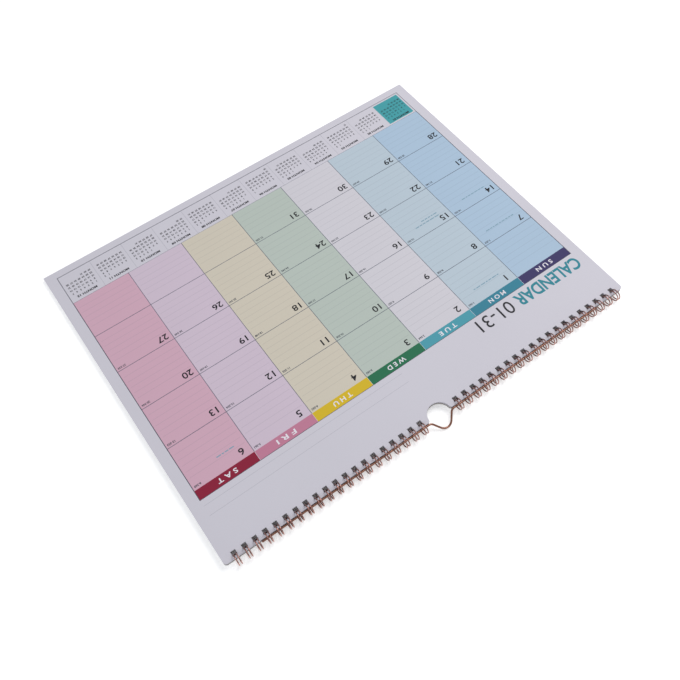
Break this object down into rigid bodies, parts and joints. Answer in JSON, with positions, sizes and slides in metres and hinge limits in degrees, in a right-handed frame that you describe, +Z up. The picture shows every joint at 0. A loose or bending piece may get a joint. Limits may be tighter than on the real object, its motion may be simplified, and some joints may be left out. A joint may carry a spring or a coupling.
{
  "type": "wall calendar",
  "caption": "Wide wall calendar on closed twin-loop wire: page block, stiff back board and turned-back cover, with a loose hanger wire whose hook sits in a thumb notch.",
  "frame": {"origin": "under the middle of the part's box, on the surface it lies on", "axes": "+X to the reader's right, +Y towards the wire-bound edge and the hook, +Z up out of the open page"},
  "size_m": [0.3746, 0.3022, 0.0098],
  "materials": {
    "printed_paper": "uncoated white paper with soft colour print",
    "board": "matt greyboard",
    "cover_card": "smooth white card",
    "coated_wire": "rose gold coated steel wire",
    "hanger_finish": "rose gold coated steel wire"
  },
  "bodies": {
    "binding": {"twin_loop_left": "coated_wire", "twin_loop_right": "coated_wire", "backing_board": "board"},
    "pages": {"calendar_pages": "printed_paper"},
    "cover": {"front_cover": "cover_card"},
    "hanger": {"hanger_wire": "hanger_finish"}
  },
  "joints": [
    {"name": "pages_turn", "type": "hinge", "parent": "binding", "child": "pages", "pos_m": [0, 0.14202, 0.0049], "axis": [-1, 0, 0], "range_deg": [0, 255]},
    {"name": "cover_turn", "type": "hinge", "parent": "binding", "child": "cover", "pos_m": [0, 0.14202, 0.0049], "axis": [1, 0, 0], "range_deg": [0, 255]},
    {"name": "hanger_swing", "type": "hinge", "parent": "binding", "child": "hanger", "pos_m": [0, 0.14202, 0.0049], "axis": [1, 0, 0], "continuous": true}
  ]
}
